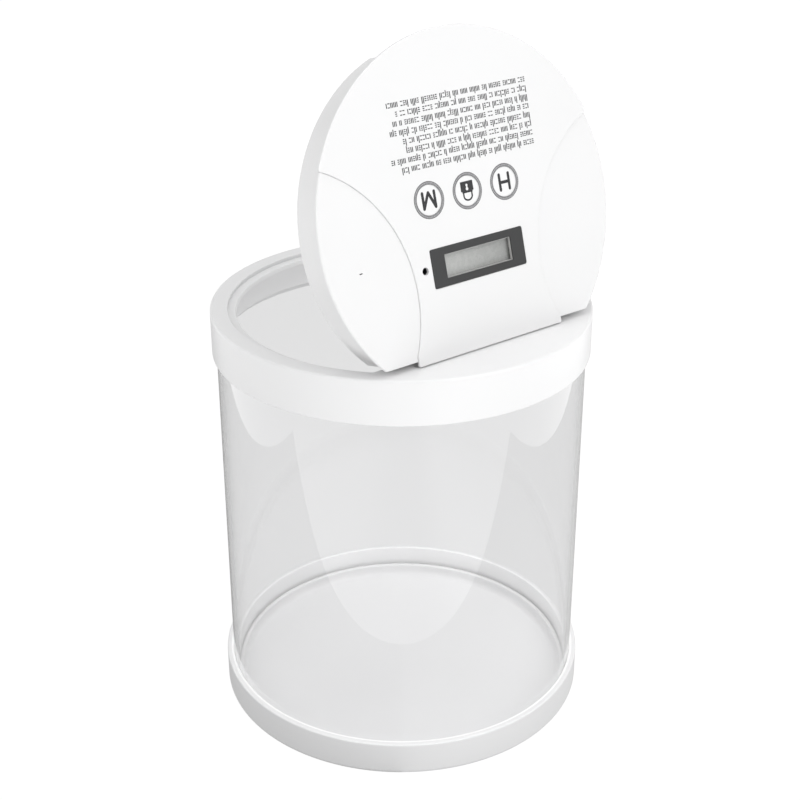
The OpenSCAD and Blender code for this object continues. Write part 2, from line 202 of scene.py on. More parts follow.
def slab(name, outer, holes, z0, z1, top=0.3, bottom=0.2, hole_top=None, hole_bottom=None):
    """A flat plate with rounded edges. Its outer loop and holes are point lists; the caps are triangulated inside them."""
    loops = [(outer if area(outer) > 0 else outer[::-1], top, bottom)]
    for h in holes:
        loops.append((h if area(h) < 0 else h[::-1], top if hole_top is None else hole_top,
                      bottom if hole_bottom is None else hole_bottom))
    verts, faces, caps = [], [], {0: [], 1: []}
    for loop, t, b in loops:
        levels = quarter(b, z0, -1) + quarter(t, z1, 1)
        rows = []
        for d, z in levels:
            rows.append(list(range(len(verts), len(verts) + len(loop))))
            verts += [(x, y, z) for x, y in inset(loop, d)]
        for k in range(len(rows) - 1):
            for i in range(len(loop)):
                j = (i + 1) % len(loop)
                faces.append((rows[k][i], rows[k][j], rows[k + 1][j], rows[k + 1][i]))
        caps[0].append(rows[0])
        caps[1].append(rows[-1])
    for side in (0, 1):
        ids = [v for ring in caps[side] for v in ring]
        co = [Vector(verts[v][:2]) for v in ids]
        edges, start = [], 0
        for ring in caps[side]:
            m = len(ring)
            edges += [(start + i, start + (i + 1) % m) for i in range(m)]
            start += m
        res = delaunay_2d_cdt(co, edges, [], 1, 1e-7)
        new_co, tri, origin = res[0], res[2], res[3]
        z = z0 if side == 0 else z1
        local = []
        for i, c in enumerate(new_co):
            if origin[i]:
                local.append(ids[origin[i][0]])
            else:
                local.append(len(verts))
                verts.append((c.x, c.y, z))
        rings = [[tuple(verts[v][:2]) for v in ring] for ring in caps[side]]
        for f in tri:
            mx = sum(new_co[i].x for i in f) / 3
            my = sum(new_co[i].y for i in f) / 3
            if within(rings[0], mx, my) and not any(within(h, mx, my) for h in rings[1:]):
                faces.append(tuple(local[i] for i in f))
    return mesh_from(name, verts, faces)


def circle(x, y, r, n=72):
    return [(x + r * math.cos(2 * math.pi * i / n), y + r * math.sin(2 * math.pi * i / n)) for i in range(n)]


def rounded(x0, y0, x1, y1, r, step=0.3):
    return fillets([(x0, y0, r), (x1, y0, r), (x1, y1, r), (x0, y1, r)], step=step, support=0.05)


def box_mesh(x0, y0, z0, x1, y1, z1):
    v = [(x, y, z) for x in (x0, x1) for y in (y0, y1) for z in (z0, z1)]
    f = [(0, 1, 3, 2), (4, 6, 7, 5), (0, 4, 5, 1), (2, 3, 7, 6), (0, 2, 6, 4), (1, 5, 7, 3)]
    return mesh_from("box", v, f)


def cyl_mesh(x, y, z0, z1, r, n=96, r1=None):
    r1 = r if r1 is None else r1
    me = lathe("cyl", [(0, z0), (r, z0), (r1, z1), (0, z1)], seg=n, raw=True)
    me.transform(Matrix.Translation((x, y, 0)))
    return me


def xcyl_mesh(x0, x1, y, z, r, n=64):
    me = lathe("cyl", [(0, 0), (r, 0), (r, x1 - x0), (0, x1 - x0)], seg=n, raw=True)
    me.transform(Matrix.Translation((x0, y, z)) @ Matrix.Rotation(math.pi / 2, 4, "Y"))
    return me


def combine(meshes):
    bm = bmesh.new()
    for me in meshes:
        bm.from_mesh(me)
    out = bpy.data.meshes.new("joined")
    bm.to_mesh(out)
    bm.free()
    return out


def boolean(a, b, op):
    oa = bpy.data.objects.new("bool_a", a)
    ob = bpy.data.objects.new("bool_b", b)
    scene.collection.objects.link(oa)
    scene.collection.objects.link(ob)
    mod = oa.modifiers.new("b", "BOOLEAN")
    mod.operation = op
    mod.object = ob
    mod.solver = "MANIFOLD"
    dg = bpy.context.evaluated_depsgraph_get()
    out = bpy.data.meshes.new_from_object(oa.evaluated_get(dg))
    bpy.data.objects.remove(oa)
    bpy.data.objects.remove(ob)
    return out


def union(*meshes):
    out = meshes[0]
    for m in meshes[1:]:
        out = boolean(out, m, "UNION")
    return out


def minus(a, *meshes):
    for m in meshes:
        a = boolean(a, m, "DIFFERENCE")
    return a


def common(a, b):
    return boolean(a, b, "INTERSECT")


def piece(name, me, matrix, body, mat, nodes=(), sharp=32):
    me = me.copy()
    me.name = name
    bm = bmesh.new()
    bm.from_mesh(me)
    bmesh.ops.remove_doubles(bm, verts=bm.verts, dist=2e-4)
    bmesh.ops.dissolve_degenerate(bm, edges=bm.edges, dist=1e-4)
    bmesh.ops.recalc_face_normals(bm, faces=bm.faces)
    bm.to_mesh(me)
    bm.free()
    me.transform(matrix)
    me.polygons.foreach_set("use_smooth", [True] * len(me.polygons))
    me.set_sharp_from_angle(angle=math.radians(sharp))
    me.materials.clear()
    for m in (mat if isinstance(mat, (list, tuple)) else [mat]):
        me.materials.append(m)
    ob = bpy.data.objects.new(name, me)
    scene.collection.objects.link(ob)
    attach(ob, body)
    if nodes:
        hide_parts(*nodes)
    return ob


# ------------------------------------------------------------------ materials
class Graph:
    def __init__(self, name):
        self.mat = bpy.data.materials.new(name)
        self.mat.use_nodes = True
        self.nt = self.mat.node_tree
        self.nt.nodes.clear()
        self.out = self.nt.nodes.new("ShaderNodeOutputMaterial")
        self.coord = self.nt.nodes.new("ShaderNodeTexCoord")

    def node(self, kind, **props):
        n = self.nt.nodes.new(kind)
        for k, v in props.items():
            setattr(n, k, v)
        return n

    def link(self, a, b):
        self.nt.links.new(a, b)

    def mapped(self, scale=(1, 1, 1), turn=(0, 0, 0)):
        m = self.node("ShaderNodeMapping")
        m.inputs["Scale"].default_value = scale
        m.inputs["Rotation"].default_value = turn
        self.link(self.coord.outputs["Object"], m.inputs["Vector"])
        return m.outputs[0]

    def noise(self, scale, detail=2.0, rough=0.5, vector=None, distortion=0.0):
        n = self.node("ShaderNodeTexNoise")
        n.inputs["Scale"].default_value = scale
        n.inputs["Detail"].default_value = detail
        n.inputs["Roughness"].default_value = rough
        n.inputs["Distortion"].default_value = distortion
        self.link(vector if vector is not None else self.coord.outputs["Object"], n.inputs["Vector"])
        return n.outputs["Fac"]

    def ramp(self, fac, stops):
        r = self.node("ShaderNodeValToRGB")
        while len(r.color_ramp.elements) < len(stops):
            r.color_ramp.elements.new(0.5)
        for e, (pos, col) in zip(r.color_ramp.elements, stops):
            e.position = pos
            e.color = (col[0], col[1], col[2], 1)
        self.link(fac, r.inputs[0])
        return r.outputs["Color"]

    def remap(self, fac, lo, hi, f0=0.3, f1=0.7):
        m = self.node("ShaderNodeMapRange")
        m.inputs["From Min"].default_value = f0
        m.inputs["From Max"].default_value = f1
        m.inputs["To Min"].default_value = lo
        m.inputs["To Max"].default_value = hi
        self.link(fac, m.inputs["Value"])
        return m.outputs["Result"]

    def bump(self, height, strength, distance, normal=None):
        b = self.node("ShaderNodeBump")
        b.inputs["Strength"].default_value = strength
        b.inputs["Distance"].default_value = distance
        self.link(height, b.inputs["Height"])
        if normal is not None:
            self.link(normal, b.inputs["Normal"])
        return b.outputs["Normal"]

    def principled(self, **values):
        p = self.node("ShaderNodeBsdfPrincipled")
        for k, v in values.items():
            p.inputs[k.replace("_", " ")].default_value = v
        return p

    def done(self, socket):
        self.link(socket, self.out.inputs["Surface"])
        return self.mat


def moulded(name, base, rough=(0.3, 0.38), var=0.012, grain=900.0, grain_bump=0.05, flow=0.10, spec=0.5, coat=0.0, seat=None):
    """Injection moulded plastic: faint tone drift, very fine skin, and slow flow ripple in the gloss."""
    g = Graph(name)
    lo = tuple(max(c * (1 - var), 0) for c in base)
    hi = tuple(min(c * (1 + var), 1) for c in base)
    drift = g.noise(14.0, 3.0, 0.55)
    p = g.principled(Specular_IOR_Level=spec, IOR=1.49, Coat_Weight=coat, Coat_Roughness=0.12)
    tone = g.ramp(drift, [(0.3, lo), (0.7, hi)])
    if seat:
        # painted light: a paler ring between two radii, where the clear wall is seated, lightens the base's rim face
        # that shows through the clear wall
        sep = g.node("ShaderNodeSeparateXYZ")
        g.link(g.coord.outputs["Object"], sep.inputs[0])
        flat = g.node("ShaderNodeCombineXYZ")
        g.link(sep.outputs["X"], flat.inputs["X"])
        g.link(sep.outputs["Y"], flat.inputs["Y"])
        far = g.node("ShaderNodeVectorMath", operation="LENGTH")
        g.link(flat.outputs[0], far.inputs[0])
        inner = g.node("ShaderNodeMath", operation="GREATER_THAN")
        inner.inputs[1].default_value = seat[0]
        g.link(far.outputs["Value"], inner.inputs[0])
        outer = g.node("ShaderNodeMath", operation="LESS_THAN")
        outer.inputs[1].default_value = seat[1]
        g.link(far.outputs["Value"], outer.inputs[0])
        both = g.node("ShaderNodeMath", operation="MULTIPLY")
        g.link(inner.outputs[0], both.inputs[0])
        g.link(outer.outputs[0], both.inputs[1])
        mix = g.node("ShaderNodeMix", data_type="RGBA")
        g.link(both.outputs[0], mix.inputs["Factor"])
        g.link(tone, mix.inputs[6])
        mix.inputs[7].default_value = (seat[2], seat[2], seat[2], 1)
        tone = mix.outputs[2]
    g.link(tone, p.inputs["Base Color"])
    fine = g.noise(260.0, 3.0, 0.6)
    g.link(g.remap(fine, rough[0], rough[1]), p.inputs["Roughness"])
    skin = g.noise(grain, 2.0, 0.6)
    ripple = g.noise(38.0, 1.0, 0.4)
    n1 = g.bump(ripple, flow, 0.0004)
    n2 = g.bump(skin, grain_bump, 0.00005, n1)
    g.link(n2, p.inputs["Normal"])
    return g.done(p.outputs[0])


def clear_plastic(name, tint, rough=(0.0, 0.03), pull=0.05, shade=0.95):
    """Clear extruded plastic that lets lamps through, with faint draw lines along its length."""
    g = Graph(name)
    p = g.principled(Transmission_Weight=1.0, IOR=1.49)
    lo = tuple(c * 0.994 for c in tint)
    cloud = g.noise(9.0, 2.0, 0.5)
    g.link(g.ramp(cloud, [(0.3, lo), (0.7, tint)]), p.inputs["Base Color"])
    fine = g.noise(70.0, 3.0, 0.6)
    g.link(g.remap(fine, rough[0], rough[1]), p.inputs["Roughness"])
    lines = g.noise(60.0, 1.0, 0.5, vector=g.mapped((1, 1, 0.04)))
    g.link(g.bump(lines, pull, 0.0002), p.inputs["Normal"])
    path = g.node("ShaderNodeLightPath")
    t1 = g.node("ShaderNodeBsdfTransparent")
    t1.inputs[0].default_value = (shade, shade, shade, 1)
    t2 = g.node("ShaderNodeBsdfTransparent")
    t2.inputs[0].default_value = (shade, shade, shade, 1)
    m1 = g.node("ShaderNodeMixShader")
    g.link(path.outputs["Is Diffuse Ray"], m1.inputs[0])
    g.link(p.outputs[0], m1.inputs[1])
    g.link(t1.outputs[0], m1.inputs[2])
    m2 = g.node("ShaderNodeMixShader")
    g.link(path.outputs["Is Shadow Ray"], m2.inputs[0])
    g.link(m1.outputs[0], m2.inputs[1])
    g.link(t2.outputs[0], m2.inputs[2])
    return g.done(m2.outputs[0])


def metal(name, base, rough=(0.22, 0.36), brush=(1, 1, 1), scale=400.0):
    g = Graph(name)
    p = g.principled(Metallic=1.0)
    streak = g.noise(scale, 3.0, 0.6, vector=g.mapped(brush))
    lo = tuple(c * 0.86 for c in base)
    g.link(g.ramp(streak, [(0.3, lo), (0.7, base)]), p.inputs["Base Color"])
    g.link(g.remap(streak, rough[0], rough[1]), p.inputs["Roughness"])
    g.link(g.bump(streak, 0.12, 0.00005), p.inputs["Normal"])
    return g.done(p.outputs[0])


def printed(name, base):
    """Screen-printed ink: matt, with a slightly uneven film."""
    g = Graph(name)
    p = g.principled(Specular_IOR_Level=0.35)
    film = g.noise(900.0, 3.0, 0.65)
    hi = tuple(min(c * 1.35 + 0.006, 1) for c in base)
    g.link(g.ramp(film, [(0.35, base), (0.75, hi)]), p.inputs["Base Color"])
    g.link(g.remap(film, 0.42, 0.6), p.inputs["Roughness"])
    g.link(g.bump(film, 0.08, 0.00002), p.inputs["Normal"])
    return g.done(p.outputs[0])


def board_material():
    g = Graph("circuit_board")
    p = g.principled(Specular_IOR_Level=0.5, Coat_Weight=0.3, Coat_Roughness=0.2)
    brick = g.node("ShaderNodeTexBrick")
    brick.inputs["Scale"].default_value = 260.0
    brick.inputs["Color1"].default_value = (0.012, 0.10, 0.045, 1)
    brick.inputs["Color2"].default_value = (0.016, 0.13, 0.06, 1)
    brick.inputs["Mortar"].default_value = (0.03, 0.22, 0.10, 1)
    brick.inputs["Mortar Size"].default_value = 0.03
    g.link(g.coord.outputs["Object"], brick.inputs["Vector"])
    g.link(brick.outputs["Color"], p.inputs["Base Color"])
    g.link(g.remap(g.noise(300.0), 0.3, 0.45), p.inputs["Roughness"])
    g.link(g.bump(brick.outputs["Fac"], 0.2, 0.00005), p.inputs["Normal"])
    return g.done(p.outputs[0])


def lcd_material():
    g = Graph("lcd_face")
    p = g.principled(Specular_IOR_Level=0.4, IOR=1.5)
    sep = g.node("ShaderNodeSeparateXYZ")
    g.link(g.coord.outputs["Generated"], sep.inputs[0])
    # painted shade and painted light: the face's colour runs from dark at low X to light at high X, standing in for
    # shade from the bezel's inner wall and reflection in the lens; the noise on top is random tone
    cloud = g.node("ShaderNodeMath", operation="MULTIPLY_ADD")
    cloud.inputs[1].default_value = 0.12
    g.link(g.noise(45.0, 2.0, 0.5), cloud.inputs[0])
    g.link(sep.outputs["X"], cloud.inputs[2])
    g.link(g.ramp(cloud.outputs[0], [(0.05, (0.310, 0.315, 0.307)), (0.95, (0.515, 0.520, 0.510))]), p.inputs["Base Color"])
    g.link(g.remap(g.noise(500.0), 0.22, 0.32), p.inputs["Roughness"])
    g.link(g.bump(g.noise(1500.0), 0.03, 0.00002), p.inputs["Normal"])
    return g.done(p.outputs[0])


def cell_material():
    """Cell jacket: a green sleeve with a pale band, and bare metal at both ends."""
    g = Graph("cell_jacket")
    p = g.principled()
    sep = g.node("ShaderNodeSeparateXYZ")
    g.link(g.coord.outputs["Generated"], sep.inputs[0])
    col = g.ramp(sep.outputs["Z"], [(0.0, (0.02, 0.16, 0.07)), (0.55, (0.025, 0.18, 0.08)), (0.56, (0.55, 0.56, 0.55)), (0.62, (0.5, 0.52, 0.5))])
    g.link(col, p.inputs["Base Color"])
    g.link(g.remap(g.noise(300.0), 0.25, 0.4), p.inputs["Roughness"])
    g.link(g.bump(g.noise(600.0), 0.05, 0.00005), p.inputs["Normal"])
    return g.done(p.outputs[0])


# painted shade and painted light: collar, lid and base cup are one white plastic; their base colours differ (collar
# 0.712, lid 0.690, base cup 0.805) only to set each part's tone under these lamps, darker on the collar and lid, paler
# on the base cup
WHITE = moulded("white_abs", (0.712, 0.712, 0.715), rough=(0.28, 0.36), spec=0.5)
WHITE_LID = moulded("white_abs_lid", (0.690, 0.690, 0.692), rough=(0.34, 0.42), grain_bump=0.07, flow=0.05)
WHITE_KEY = moulded("white_key", (0.70, 0.70, 0.702), rough=(0.38, 0.46), grain_bump=0.10, flow=0.0)
WHITE_UNDER = moulded("white_abs_under", (0.73, 0.73, 0.733), rough=(0.42, 0.52), grain=1500.0, grain_bump=0.22)
# painted light: seat makes the ring under the clear wall's foot paler, so the rim face seen through the clear wall
# reads lighter
WHITE_BASE = moulded("white_abs_base", (0.805, 0.805, 0.809), rough=(0.28, 0.36), spec=0.5, seat=(0.0770, 0.0792, 0.97))
ACRYLIC = clear_plastic("clear_cylinder", (0.975, 0.975, 0.978), shade=0.99)
LENS = clear_plastic("clear_lens", (0.96, 0.965, 0.96), rough=(0.02, 0.06), pull=0.0, shade=0.93)
# painted light: a mid grey for the frame lining the bezel's opening
LINER_PAINTED_LIGHT = moulded("display_liner_painted_light", (0.42, 0.42, 0.41), rough=(0.3, 0.4), grain=1300.0, grain_bump=0.05, flow=0.02)
BEZEL = moulded("dark_bezel", (0.026, 0.0265, 0.027), rough=(0.38, 0.46), var=0.05, grain=1300.0, grain_bump=0.12, flow=0.02)
BLACK = moulded("black_plastic", (0.012, 0.012, 0.013), rough=(0.35, 0.5), var=0.05)
NYLON = moulded("nylon", (0.72, 0.71, 0.66), rough=(0.42, 0.55))
INK = printed("dark_ink", (0.020, 0.020, 0.022))
INK_MID = printed("grey_ink", (0.20, 0.20, 0.205))
INK_EDGE = printed("ring_ink", (0.085, 0.085, 0.088))
STEEL = metal("steel", (0.62, 0.62, 0.63))
BOLT = metal("brushed_bolt", (0.66, 0.66, 0.67), brush=(1, 0.05, 1))
NICKEL = metal("nickel", (0.72, 0.71, 0.68), rough=(0.16, 0.28))
CAN = metal("motor_can", (0.58, 0.58, 0.57), rough=(0.26, 0.4))
PCB = board_material()
LCD = lcd_material()
CELL = cell_material()

# ------------------------------------------------------------------ jar
base = lathe("base_cup", [(0, 0), (40, 0, 0.3), (40, 0.6, 0.2), (72, 0.6, 0.2), (72, 0, 0.3), (81.1, 0, 2.0),
                          (81.1, 15.4, 0.8), (78.2, 15.4, 0.3), (78.2, 2.2), (76.1, 2.2), (76.1, 7, 0.3),
                          (74.2, 7, 0.55), (74.2, 2.2, 2.2), (0, 2.2)], seg=256)
piece("base_cup_moulding", base, BODY_M, "jar", WHITE_BASE, ["base_cup"])

tube = lathe("tube", [(76.3, 2.26, 0.2), (78.15, 2.26, 0.2), (78.15, 179.8, 0.2), (76.3, 179.8, 0.2)], seg=288)
piece("clear_cylinder_wall", tube, BODY_M, "jar", ACRYLIC, ["jar_tube"])

ring = lathe("collar", [(78.25, 165, 0.1), (80, 165, 0.35), (80, 184, 1.0), (72.6, 184, 0.35), (72.6, 182.2, 0.1),
                        (69.15, 182.2, 0.45), (69.15, 180.2, 0.2), (74.2, 180.2), (74.2, 168, 0.3), (76.2, 168, 0.3),
                        (76.2, 179.9), (78.25, 179.9)], seg=256)
N_SHELF = 160


def segment(r, y0, x_half=None):
    """The piece of a disc of radius r beyond the line y = y0."""
    a0 = math.asin(y0 / r)
    pts = [(r * math.cos(a0 + (math.pi - 2 * a0) * i / N_SHELF), r * math.sin(a0 + (math.pi - 2 * a0) * i / N_SHELF))
           for i in range(N_SHELF + 1)]
    return pts


def plain_slab(loop, z0, z1):
    return slab("s", loop, [], z0, z1, top=0, bottom=0)


shelf = plain_slab(segment(73.6, 50.8), 181.0, 184.0)
front = common(plain_slab(segment(73.6, 50.8), 176.0, 184.0), box_mesh(-70, 50.0, 176.5, 70, 52.6, 183.0))
block = common(plain_slab(segment(73.6, 50.8), 174.5, 184.0), box_mesh(-38, 50.0, 174.6, 38, 60.6, 183.5))
collar = union(ring, shelf, front, block)
roll = minus(box_mesh(-36.9, 49.0, HZ, 36.9, HY, 186.0), xcyl_mesh(-45, 45, HY, HZ, 5.5, 96))
cuts = [roll]
for s in (-1, 1):
    xe = 23.7 if s > 0 else -33.0
    cuts.append(box_mesh(xe, 49.0, 173.0, xe + 9.3, 56.9, 186.0))
    cuts.append(xcyl_mesh(xe, xe + 9.3, HY, HZ, 3.7))
    cuts.append(box_mesh(xe, HY - 3.7, 173.0, xe + 9.3, HY + 3.7, HZ))
    xs = 15.0 if s > 0 else -24.0
    cuts.append(xcyl_mesh(xs, xs + 9.0, HY, HZ, 3.1))
    cuts.append(box_mesh(xs, HY - 3.1, 173.0, xs + 9.0, HY + 3.1, HZ))
    xp = 11.0 if s > 0 else -36.2
    cuts.append(xcyl_mesh(xp, xp + 25.2, HY, HZ, 1.02, 32))
cuts.append(box_mesh(-12, HY - 2.6, 173.0, 12, 58.0, 181.0))
collar = minus(collar, *cuts)
piece("collar_moulding", collar, BODY_M, "jar", WHITE, ["collar_ring"])

# ------------------------------------------------------------------ lid outlines
WING_R, WING_C, WING_SHIFT = 57.4, (88.4, 23.7), 0.5
WING_Y, TONGUE_Y, TONGUE_X, PANEL_R = 49.0, 51.3, 36.2, 71.8


def wing_loop(g, dx, sign):
    """One side wing of the lid's face, grown by g: a disc that bites into the face, and a strip to the tongue."""
    cx, cy, r = WING_C[0] + dx, WING_C[1], WING_R + g
    x_in = TONGUE_X + 0.3 - g
    pts = [(90.0, 51.5), (x_in, 51.5), (x_in, 44.0)]
    # where the strip's lower edge meets the disc
    y = 44.0
    a_start = math.atan2(y - cy, -math.sqrt(max(r * r - (y - cy) ** 2, 0)))
    hit = (cx + r * math.cos(a_start), cy + r * math.sin(a_start))
    if hit[0] < x_in:
        pts = [(90.0, 51.5), (x_in, 51.5)]
        t = x_in - cx
        yy = cy + math.sqrt(r * r - t * t)
        a_start = math.atan2(yy - cy, t)
        pts.append((x_in, yy))
    a_end = math.atan2(-60 - cy, -math.sqrt(r * r - min((60 + cy) ** 2, r * r))) if (60 + cy) < r else -math.pi / 2
    a0, a1 = a_start, (2 * math.pi + a_end if a_end < 0 else a_end)
    k = 90
    for i in range(k + 1):
        w = a0 + (a1 - a0) * i / k
        pts.append((cx + r * math.cos(w), cy + r * math.sin(w)))
    pts.append((90.0, pts[-1][1]))
    return [(sign * x, y) for x, y in pts]


def panel_outline():
    """Outer disc cut by the two wings and the straight edge behind the tongue, walked once around."""
    g = 0.09
    out = []

    def side(sign, dx):
        cx, cy, r = WING_C[0] + dx, WING_C[1], WING_R + g
        # the disc and the wing's circle meet on the front side
        d = math.hypot(cx, cy)
        a = (PANEL_R ** 2 - r ** 2 + d * d) / (2 * d)
        h = math.sqrt(PANEL_R ** 2 - a * a)
        ux, uy = cx / d, cy / d
        p1 = (a * ux + h * uy, a * uy - h * ux)
        x_in = TONGUE_X + 0.3 - g
        t = x_in - cx
        inside = abs(t) < r
        y44 = 44.0
        hit_x = cx - math.sqrt(r * r - (y44 - cy) ** 2)
        arc = []
        a_front = math.atan2(p1[1] - cy, p1[0] - cx)
        if a_front < 0:
            a_front += 2 * math.pi
        if hit_x >= x_in:
            a_back = math.atan2(y44 - cy, hit_x - cx)
            tail = [(x_in, y44), (x_in, TONGUE_Y)]
        else:
            a_back = math.atan2(math.sqrt(r * r - t * t), t)
            tail = [(x_in, TONGUE_Y)]
        k = 80
        for i in range(k + 1):
            w = a_front + (a_back - a_front) * i / k
            arc.append((cx + r * math.cos(w), cy + r * math.sin(w)))
        return p1, arc, tail

    p1, arc, tail = side(1, WING_SHIFT)
    q1, qarc, qtail = side(-1, -WING_SHIFT)
    # the right side, from the front to the back
    right_side = arc + tail
    left_side = [(-x, y) for x, y in (qarc + qtail)][::-1]
    a_left = math.atan2(q1[1], -q1[0])
    a_right = math.atan2(p1[1], p1[0])
    if a_left > 0:
        a_left -= 2 * math.pi
    k = 150
    front_arc = [(PANEL_R * math.cos(a_left + (a_right - a_left) * i / k), PANEL_R * math.sin(a_left + (a_right - a_left) * i / k))
                 for i in range(1, k)]
    return front_arc + right_side + left_side


def tidy(loop, least=0.05):
    out = []
    for p in loop:
        if not out or math.hypot(p[0] - out[-1][0], p[1] - out[-1][1]) > least:
            out.append(p)
    if math.hypot(out[0][0] - out[-1][0], out[0][1] - out[-1][1]) <= least:
        out.pop()
    return out


def round_corners(loop, r, turn=0.35, clear=1.9):
    """Rounds only the corners of a fine loop that turn by more than turn. Points close to such a corner give way to it."""
    n = len(loop)
    corner = []
    for i in range(n):
        p, c, q = Vector(loop[i - 1]), Vector(loop[i]), Vector(loop[(i + 1) % n])
        a, b = (c - p), (q - c)
        corner.append(abs(math.atan2(a.x * b.y - a.y * b.x, a.dot(b))) > turn)
    sharp = [loop[i] for i in range(n) if corner[i]]
    pts = []
    for i in range(n):
        if corner[i]:
            pts.append((loop[i][0], loop[i][1], r))
        elif all(math.hypot(loop[i][0] - x, loop[i][1] - y) > clear for x, y in sharp):
            pts.append(loop[i])
    return fillets(pts, step=0.2, support=0.05)


KEYS = [KEY_X0 + i * PITCH for i in (-1, 0, 1)]

# ------------------------------------------------------------------ lid panel
panel = slab("top_panel", round_corners(tidy(panel_outline()), 0.8),
             [rounded(LCD_X - 23.1, LCD_Y - 7.6, LCD_X + 23.1, LCD_Y + 7.6, 0.8)]
             + [circle(x, KEY_Y, 5.8, 96) for x in KEYS] + [circle(JACK[0], JACK[1], 1.45, 40)],
             PANEL_Z, PANEL_TOP, top=0.42, bottom=0.05, hole_top=0.10, hole_bottom=0.0)
grooves = []
for x in KEYS:
    g = lathe("groove", [(6.5, 184.3), (6.8, 184.3), (6.8, 185.0), (6.5, 185.0)], seg=96, raw=True)
    g.transform(Matrix.Translation((x, KEY_Y, 0)))
    grooves.append(g)
panel = minus(panel, *grooves)
piece("lid_panel", panel, LID_M, "lid", WHITE_LID, ["top_panel"])

# ------------------------------------------------------------------ lid shell
flange = lathe("flange", [(0, FLANGE_Z), (71, FLANGE_Z, 0.15), (71, TOP, 1.1), (0, TOP)], seg=256)
flange = minus(flange, box_mesh(-90, WING_Y, 170, 90, 90, 200))
plug = lathe("plug", [(0, PLUG_Z), (68.3, PLUG_Z, 0.5), (68.5, FLANGE_Z + 0.05), (0, FLANGE_Z + 0.05)], seg=256)
plug = minus(plug, box_mesh(-90, 48.5, 160, 90, 90, 200))
cavity = lathe("cavity", [(0, PLUG_Z - 1), (66.6, PLUG_Z - 1), (66.6, CEIL_Z), (0, CEIL_Z)], seg=192, raw=True)
cavity = minus(cavity, box_mesh(-90, 46.7, 160, 90, 90, 200), box_mesh(-24.8, -90, 160, 24.8, -55.2, 200))
plug = minus(plug, cavity, box_mesh(-23, -90, 160, 23, -57, FLANGE_Z - 0.01))
shell = union(flange, plug)
wall = minus(box_mesh(-60, -27.2, COVER_IN, -34.4, 27.2, CEIL_Z + 0.05), box_mesh(-59, -26.2, COVER_IN - 1, -35.4, 26.2, CEIL_Z))
adds = [wall]
adds += [cyl_mesh(x, y, 178.1, CEIL_Z + 0.05, 2.6, 48) for x, y in BOARD_XY]
adds += [cyl_mesh(x, y, COVER_IN + 1.6, CEIL_Z + 0.05, 3.1, 48) for x, y in COVER_XY]
adds += [box_mesh(x, -49, 179.5, x + 3, -39, CEIL_Z + 0.05) for x in (9, 25)]
ears = []
for x in (-32.7, 24.0):
    ear = union(xcyl_mesh(x, x + 8.7, HY, HZ, 3.4, 72), box_mesh(x, 48, HZ - 2, x + 8.7, HY, HZ + 2))
    ears.append(ear)
shell = union(shell, combine(adds), *ears)
wing_a = plain_slab(wing_loop(0.0, WING_SHIFT, 1), 170, 200)
wing_b = plain_slab(wing_loop(0.0, -WING_SHIFT, -1)[::-1], 170, 200)
seat = minus(cyl_mesh(0, 0, PANEL_Z, 190, 82, 128), wing_a, wing_b)
holes = [box_mesh(LCD_X - 18.1, LCD_Y - 6.1, CEIL_Z - 1, LCD_X + 18.1, LCD_Y + 6.1, PANEL_Z + 1)]
holes += [cyl_mesh(x, KEY_Y, CEIL_Z - 1, 186, 6.0, 96) for x in KEYS]
holes += [cyl_mesh(JACK[0], JACK[1], CEIL_Z - 1, 186, 2.55, 48)]
holes += [slab("slot", rounded(54.25, 10.65, 55.75, 11.15, 0.2, 0.1), [], CEIL_Z - 1, 186, top=0, bottom=0)]
holes += [cyl_mesh(x, y, 177.1, 181.5, 0.82, 32) for x, y in BOARD_XY]
holes += [cyl_mesh(x, y, COVER_IN, 179.1, 1.02, 32) for x, y in COVER_XY]
holes += [box_mesh(-4.3, -58, 176.8, 4.3, -54, 180.3), xcyl_mesh(-40, 40, HY, HZ, 1.05, 32)]
shell = minus(shell, seat, *holes)
piece("lid_moulding", shell, LID_M, "lid", WHITE_LID, ["lid_shell"])

# ------------------------------------------------------------------ display
bezel = slab("bezel", rounded(LCD_X - 23, LCD_Y - 7.5, LCD_X + 23, LCD_Y + 7.5, 0.85, 0.2),
             [rounded(LCD_X - 16.5, LCD_Y - 4.6, LCD_X + 16.5, LCD_Y + 4.6, 0.25, 0.1)],
             PANEL_Z, 184.8, top=0.28, bottom=0.05, hole_top=0.16, hole_bottom=0.0)
piece("display_frame", bezel, LID_M, "lid", BEZEL, ["display_bezel"])
lens = slab("lens", rounded(LCD_X - 18, LCD_Y - 6, LCD_X + 18, LCD_Y + 6, 0.3), [], PANEL_Z - 0.8, PANEL_Z - 0.02, top=0.06, bottom=0.06)
piece("display_window", lens, LID_M, "lid", LENS, ["display_lens"])

# painted light: a pale grey frame lining the bezel's opening covers the bezel's shaded inner wall, standing in for
# light seen through the clear lens's edge
liner = slab("liner", rounded(LCD_X - 16.47, LCD_Y - 4.57, LCD_X + 16.47, LCD_Y + 4.57, 0.25, 0.1),
             [rounded(LCD_X - 16.17, LCD_Y - 4.27, LCD_X + 16.17, LCD_Y + 4.27, 0.15, 0.1)],
             PANEL_Z + 0.02, 184.35, top=0.08, bottom=0.0, hole_top=0.08, hole_bottom=0.0)
piece("display_liner_painted_light", liner, LID_M, "lid", LINER_PAINTED_LIGHT)

# ------------------------------------------------------------------ keys and their prints
T_INK = 0.02


def capsule(p, q, w):
    a, b = Vector(p), Vector(q)
    d = (b - a).normalized()
    r = w / 2
    base_a = math.atan2(d.y, d.x)
    pts = []
    for i in range(11):
        t = base_a - math.pi / 2 + math.pi * i / 10
        pts.append((b.x + r * math.cos(t), b.y + r * math.sin(t)))
    for i in range(11):
        t = base_a + math.pi / 2 + math.pi * i / 10
        pts.append((a.x + r * math.cos(t), a.y + r * math.sin(t)))
    return pts


